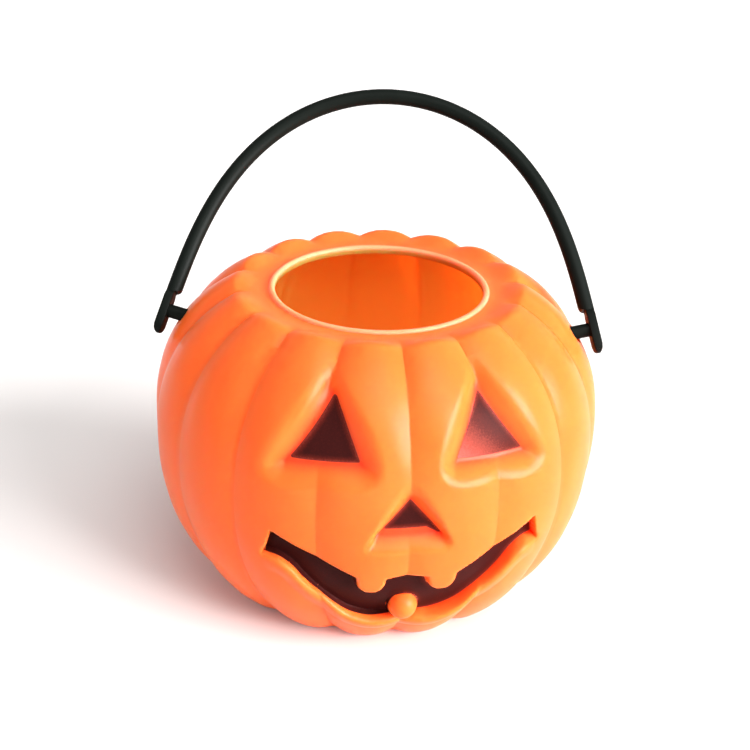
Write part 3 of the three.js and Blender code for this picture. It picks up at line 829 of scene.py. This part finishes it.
def paint_skin(name, face, inside_of, box, settings, step=0.25 * MM):
    """A thin closed coat on the floor of a recess, with its rim drawn onto the paint's outline."""
    (x0, x1), (z0, z1) = box
    x, z = np.meshgrid(np.arange(x0, x1, step), np.arange(z0, z1, step))
    for _ in range(3):
        inside = inside_of(x, z)
        dx = (inside_of(x + 0.01 * MM, z) - inside) / (0.01 * MM)
        dz = (inside_of(x, z + 0.01 * MM) - inside) / (0.01 * MM)
        size = np.maximum(np.hypot(dx, dz), 1e-6)
        near = np.abs(inside) < 0.6 * step
        x = np.where(near, x - inside * dx / size ** 2, x)
        z = np.where(near, z - inside * dz / size ** 2, z)
    inside = inside_of(x, z)
    kept = inside > -0.05 * step
    rows, columns = x.shape
    flat = kept.ravel()
    quads = [q for q in grid_faces(rows, columns, False) if all(flat[i] for i in q)]
    triangles = []
    for a, b, c, d in grid_faces(rows, columns, False):
        corners = [i for i in (a, b, c, d) if flat[i]]
        if len(corners) == 3:
            triangles.append(tuple(corners))
    top = face.points(x, z, 0.0, settings.paint_height).reshape(-1, 3)
    work = bmesh.new()
    paint_paleness = work.verts.layers.float.new("paint_paleness")
    verts = {}
    for polygon in quads + triangles:
        for i in polygon:
            if i not in verts:
                verts[i] = work.verts.new(top[i])
    for polygon in quads + triangles:
        work.faces.new([verts[i] for i in polygon])
    for i, vert in verts.items():
        vert[paint_paleness] = paint_paleness_at(top[i], inside.ravel()[i])
    bmesh.ops.recalc_face_normals(work, faces=work.faces)
    under = bmesh.ops.duplicate(work, geom=work.faces[:] + work.edges[:] + work.verts[:])
    pairs = under["vert_map"]
    low = [g for g in under["geom"] if isinstance(g, bmesh.types.BMVert)]
    for vert in low:
        vert.co.y += 3 * settings.paint_height
    under_faces = [g for g in under["geom"] if isinstance(g, bmesh.types.BMFace)]
    bmesh.ops.reverse_faces(work, faces=under_faces)
    low = set(low)
    rim = [e for e in work.edges if e.is_boundary and e.verts[0] not in low]
    for edge in rim:
        a, b = edge.verts
        work.faces.new((b, a, pairs[a], pairs[b]))
    bmesh.ops.recalc_face_normals(work, faces=work.faces)
    if work.calc_volume(signed=True) < 0:
        bmesh.ops.reverse_faces(work, faces=work.faces)
    mesh = bpy.data.meshes.new(name)
    work.to_mesh(mesh)
    work.free()
    mesh.shade_smooth()
    mesh.set_sharp_from_angle(angle=math.radians(60))
    piece = bpy.data.objects.new(name, mesh)
    bpy.context.scene.collection.objects.link(piece)
    return piece


def paint_paleness_at(place, inside):
    """How pale the paint is: it feathers out thin at its rim, and grows paler towards the lower
    left of the right eye.
    """
    x, _, z = place
    rim = 1 - min(max(inside / PAINT_RIM, 0), 1)
    if x < 0 and z < WIDEST_HEIGHT - 12 * MM:
        rim *= 0.2
    toward_lower_left = 0.0
    if x > 8 * MM and z > 55 * MM:
        toward_lower_left = ((30 * MM - x) + 1.1 * (76 * MM - z)) / (22 * MM)
    return max(0.5 * rim, min(max(toward_lower_left - 0.5, 0), 1))


def build_paint(face, settings):
    pieces = {}
    outlines = {"right_eye_paint": RIGHT_EYE_PAINT, "left_eye_paint": LEFT_EYE_PAINT,
                "nose_paint": NOSE_PAINT}
    for name, corners in outlines.items():
        outline = np.array(to_metres(corners))
        box = list(zip(outline.min(0) - 1 * MM, outline.max(0) + 1 * MM))

        def inside_of(x, z, outline=outline):
            return outline_distance(x, z, outline)[0] + PAINT_CORNER

        pieces[name] = paint_skin(name, face, inside_of, box, settings)

    def in_mouth(x, z):
        inside, _ = outline_distance(x, z, face.mouth)
        tooth = np.hypot(x, z - LOWER_TOOTH_HEIGHT) - LOWER_TOOTH_RADIUS
        margin = 0.75 * MM * smoothstep(-12 * MM, 10 * MM, x)
        return np.minimum(inside - margin, tooth)

    box = [(-37 * MM, 37 * MM), (14 * MM, 44 * MM)]
    pieces["mouth_paint"] = paint_skin("mouth_paint", face, in_mouth, box, settings)
    return pieces


# Handle

def strap_line(out, up, count):
    share = (np.arange(count) + 0.5) / count - 0.5
    slope = -STRAP_END_ANGLE * np.sin(math.pi * share)
    x = np.concatenate([[0], np.cumsum(np.cos(slope))])
    z = np.concatenate([[0], np.cumsum(np.sin(slope))])
    scale = 2 * out / x[-1]
    return np.stack([x * scale - out, z * scale + up], axis=1)


def build_handle(shell_settings, settings):
    wall = shell_settings.wall
    radius = settings.strap_diameter / 2
    outer = radius - TAB_STEP
    inner = outer - TAB_THICKNESS
    hinge_radius = float(crest_radius(HINGE_HEIGHT))
    crossing = hinge_radius - wall
    out = hinge_radius + TAB_CLEARANCE
    up = 0.0
    for _ in range(8):
        up = (out - crossing) * math.tan(SPLAY)
        tip = up - TAB_BELOW_PEG * math.cos(SPLAY) + inner * math.sin(SPLAY)
        belly = float(crest_radius(HINGE_HEIGHT + tip))
        out = belly + TAB_CLEARANCE - TAB_BELOW_PEG * math.sin(SPLAY) - inner * math.cos(SPLAY)

    line = strap_line(out, up, 600)
    steps = np.hypot(*np.diff(line, axis=0).T)
    run = np.concatenate([[0], np.cumsum(steps)])
    places = np.linspace(TAB_ABOVE_PEG, run[-1] - TAB_ABOVE_PEG, 161)
    path = np.stack([np.interp(places, run, line[:, k]) for k in range(2)], axis=1)
    sides = normals_along(path)
    turns = np.linspace(0, 2 * math.pi, 28, endpoint=False)
    vertices = []
    for (px, pz), (nx, nz) in zip(path, sides):
        for t in turns:
            c, s = radius * math.cos(t), radius * math.sin(t)
            vertices.append((px + nx * c, s, pz + nz * c))
    faces = grid_faces(len(path), len(turns), True)
    faces.append(tuple(range(len(turns)))[::-1])
    faces.append(tuple((len(path) - 1) * len(turns) + i for i in range(len(turns))))
    handle = mesh_object("handle", vertices, faces)
    outwards(handle)

    for side in (-1, 1):
        place = Matrix.Translation((out, 0, up)) @ Matrix.Rotation(-SPLAY, 4, "Y")
        if side < 0:
            place = Matrix.Scale(-1, 4, (1, 0, 0)) @ place
        combine(handle, transform(shoulder_cut(radius, inner), place), "DIFFERENCE")
        tab = tab_plate(radius, inner, outer, settings.edge_round)
        combine(handle, transform(tab, place), "UNION")
        reach = (out - crossing) / math.cos(SPLAY) + PEG_NECK_SPARE
        combine(handle, transform(peg(reach), place), "UNION")
    transform(handle, hinge_place() @ Matrix.Rotation(-HANDLE_LEAN, 4, "X"))
    handle.data.shade_smooth()
    handle.data.set_sharp_from_angle(angle=math.radians(38))
    return handle


def tab_plate(radius, inner, outer, edge_round):
    """The flat tab: straight faces, rounded below, drawn in above to the strap."""
    tip = -TAB_BELOW_PEG
    middle = (inner + outer) / 2
    half = TAB_THICKNESS / 2
    top = TAB_ABOVE_PEG + radius / 2
    corners = [(outer, top), (outer, tip + 1.6 * half)]
    for turn in np.linspace(0, math.pi, 9)[1:-1]:
        corners.append((middle + 0.9 * half * math.cos(turn), tip + half * (1 - math.sin(turn))))
    corners += [(inner, tip + 1.9 * half), (inner, top)]
    plate = prism("tab_side", corners, TAB_WIDTH, "Y")
    wide = TAB_WIDTH / 2
    front = [(-wide, TAB_ABOVE_PEG - wide / 2)]
    for turn in np.linspace(math.pi, 2 * math.pi, 17):
        front.append((wide * math.cos(turn), tip + wide + wide * math.sin(turn)))
    front += [(wide, TAB_ABOVE_PEG - wide / 2), (wide / 2, top), (-wide / 2, top)]
    combine(plate, prism("tab_front", front, 4 * TAB_THICKNESS, "X"), "INTERSECT")
    work = bmesh.new()
    work.from_mesh(plate.data)
    bmesh.ops.dissolve_limit(work, angle_limit=math.radians(1), verts=work.verts, edges=work.edges)
    sharp = [e for e in work.edges
             if len(e.link_faces) == 2 and e.calc_face_angle() > math.radians(50)]
    bmesh.ops.bevel(work, geom=sharp, offset=edge_round, segments=3, affect="EDGES", profile=0.5)
    work.to_mesh(plate.data)
    work.free()
    return plate


def shoulder_cut(radius, inner):
    """The hollow slant where the strap's inner side is cut away above the tab."""
    far = -2 * radius
    top = TAB_ABOVE_PEG + 1.9 * MM
    slope = [(inner, TAB_ABOVE_PEG - 1 * MM), (inner, TAB_ABOVE_PEG + 0.3 * MM)]
    for turn in np.linspace(0, math.pi / 2, 7)[1:]:
        slope.append((inner + (-radius - inner) * math.sin(turn),
                      TAB_ABOVE_PEG + 0.3 * MM + 1.6 * MM * (1 - math.cos(turn))))
    corners = [(far, TAB_ABOVE_PEG - 1 * MM)] + slope + [(far, top)]
    return prism("shoulder_cut", corners, 2 * TAB_WIDTH, "Y")


def peg(neck):
    """The peg through the wall, with the snap head inside. It runs inwards from the tab."""
    shaft = PEG_DIAMETER / 2
    head = PEG_HEAD_DIAMETER / 2
    profile = [(0, 0), (shaft, 0), (shaft, -neck), (head, -neck - 0.3 * MM), (head, -neck - 1 * MM),
               (shaft * 0.8, -neck - PEG_HEAD_LENGTH), (0, -neck - PEG_HEAD_LENGTH)]
    return spun("peg", profile, 32)


# Operators

class BUCKET_OT_shell(bpy.types.Operator):
    """Builds the ribbed pumpkin shell and the paint in its face"""

    bl_idname = "bucket.shell"
    bl_label = "Shell and face paint"

    def execute(self, context):
        settings = context.scene.bucket_shell
        shell, face = build_shell(settings)
        dress(shell, moulded_polyethylene(settings.plastic))
        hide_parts("pumpkin_shell")
        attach(shell, "bucket")
        enamel = sprayed_enamel(settings.paint)
        for node, coat in build_paint(face, settings).items():
            coat.name = node.replace("_paint", "_enamel")
            dress(coat, enamel)
            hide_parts(node)
            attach(coat, "bucket")
        return {"FINISHED"}


class BUCKET_OT_handle(bpy.types.Operator):
    """Builds the strap handle with its tabs and snap pegs"""

    bl_idname = "bucket.handle"
    bl_label = "Handle"

    def execute(self, context):
        settings = context.scene.bucket_handle
        handle = build_handle(context.scene.bucket_shell, settings)
        dress(handle, moulded_polypropylene(settings.plastic))
        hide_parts("carry_handle")
        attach(handle, "handle")
        return {"FINISHED"}


class BUCKET_OT_stage(bpy.types.Operator):
    """Sets up the floor, the lights and the camera"""

    bl_idname = "bucket.stage"
    bl_label = "Stage"

    def execute(self, context):
        settings = context.scene.bucket_stage
        build_floor(settings.floor)
        build_lights(settings)
        build_camera()
        return {"FINISHED"}


def build_floor(colour):
    work = bmesh.new()
    bmesh.ops.create_grid(work, x_segments=2, y_segments=2, size=3)
    mesh = bpy.data.meshes.new("floor")
    work.to_mesh(mesh)
    work.free()
    floor = bpy.data.objects.new("floor", mesh)
    bpy.context.scene.collection.objects.link(floor)
    material = new_material("white_paper")
    tree = material.node_tree
    shader = add_node(tree, "ShaderNodeBsdfPrincipled", None, {
        "Base Color": linear(colour), "Roughness": 0.7})
    path = add_node(tree, "ShaderNodeLightPath")
    seen = add_node(tree, "ShaderNodeMath", {"operation": "MULTIPLY"}, {
        0: (path, "Is Camera Ray"), 1: 0.06})
    white = add_node(tree, "ShaderNodeEmission", None, {"Strength": (seen, "Value")})
    both = add_node(tree, "ShaderNodeAddShader", None, {
        0: (shader, "BSDF"), 1: (white, "Emission")})
    add_node(tree, "ShaderNodeOutputMaterial", None, {"Surface": (both, "Shader")})
    mesh.materials.append(material)


def sun_lamp(name, turn, rise, spread, strength):
    """A soft lamp far off, at a turn to the right of the face and a rise above the floor."""
    data = bpy.data.lights.new(name, "SUN")
    data.energy = strength
    data.angle = spread
    lamp = bpy.data.objects.new(name, data)
    towards = Vector((math.sin(turn) * math.cos(rise), -math.cos(turn) * math.cos(rise),
                      math.sin(rise)))
    lamp.rotation_euler = towards.to_track_quat("Z", "Y").to_euler()
    bpy.context.scene.collection.objects.link(lamp)


def build_lights(settings):
    """A strong low window, a small lamp for crisp highlights, a ceiling and a pale sky."""
    sun_lamp("window", math.radians(54), math.radians(17), math.radians(40), settings.key)
    sun_lamp("bare_bulb", math.radians(33), math.radians(34), math.radians(12), settings.key / 12)
    sun_lamp("ceiling", math.radians(20), math.radians(62), math.radians(40), settings.fill)
    world = bpy.data.worlds.new("sky")
    bpy.context.scene.world = world
    world.use_nodes = True
    tree = world.node_tree
    tree.nodes.clear()
    path = add_node(tree, "ShaderNodeLightPath")
    strength = add_node(tree, "ShaderNodeMath", {"operation": "MAXIMUM"}, {
        0: (path, "Is Camera Ray"), 1: settings.sky})
    sky = add_node(tree, "ShaderNodeBackground", None, {
        "Color": (1, 1, 1, 1), "Strength": (strength, "Value")})
    add_node(tree, "ShaderNodeOutputWorld", None, {"Surface": (sky, "Background")})


def build_camera():
    back = Vector((math.sin(CAMERA_TURN) * math.cos(CAMERA_RISE),
                   -math.cos(CAMERA_TURN) * math.cos(CAMERA_RISE), math.sin(CAMERA_RISE)))
    right = Vector((math.cos(CAMERA_TURN), math.sin(CAMERA_TURN), 0))
    up = back.cross(right)
    rolled = right * math.cos(CAMERA_ROLL) + up * math.sin(CAMERA_ROLL)
    upright = up * math.cos(CAMERA_ROLL) - right * math.sin(CAMERA_ROLL)
    data = bpy.data.cameras.new("camera")
    data.sensor_width = CAMERA_SENSOR
    data.lens = CAMERA_LENS
    camera = bpy.data.objects.new("camera", data)
    place = right * CAMERA_AIM.x + Vector((0, 0, CAMERA_AIM.z)) + back * CAMERA_DISTANCE
    matrix = Matrix((rolled, upright, back)).transposed().to_4x4()
    camera.matrix_world = Matrix.Translation(place) @ matrix
    bpy.context.scene.collection.objects.link(camera)
    bpy.context.scene.camera = camera


class BUCKET_PT_panel(bpy.types.Panel):
    """Lists the bucket's pieces and their sizes"""

    bl_label = "Trick-or-treat bucket"
    bl_idname = "BUCKET_PT_panel"
    bl_space_type = "VIEW_3D"
    bl_region_type = "UI"
    bl_category = "Bucket"

    def draw(self, context):
        for group, operator in (("bucket_shell", "bucket.shell"),
                                ("bucket_handle", "bucket.handle"),
                                ("bucket_stage", "bucket.stage")):
            box = self.layout.box()
            settings = getattr(context.scene, group)
            for name in settings.__annotations__:
                box.prop(settings, name)
            box.operator(operator)


CLASSES = (ShellSettings, HandleSettings, StageSettings, BUCKET_OT_shell, BUCKET_OT_handle,
           BUCKET_OT_stage, BUCKET_PT_panel)


def register():
    for item in CLASSES:
        bpy.utils.register_class(item)
    bpy.types.Scene.bucket_shell = bpy.props.PointerProperty(type=ShellSettings)
    bpy.types.Scene.bucket_handle = bpy.props.PointerProperty(type=HandleSettings)
    bpy.types.Scene.bucket_stage = bpy.props.PointerProperty(type=StageSettings)


def unregister():
    del bpy.types.Scene.bucket_stage
    del bpy.types.Scene.bucket_handle
    del bpy.types.Scene.bucket_shell
    for item in reversed(CLASSES):
        bpy.utils.unregister_class(item)


def main():
    register()
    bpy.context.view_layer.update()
    bpy.context.scene.view_settings.view_transform = "Standard"
    bpy.ops.bucket.stage()
    bpy.ops.bucket.shell()
    bpy.ops.bucket.handle()


if __name__ == "__main__":
    main()
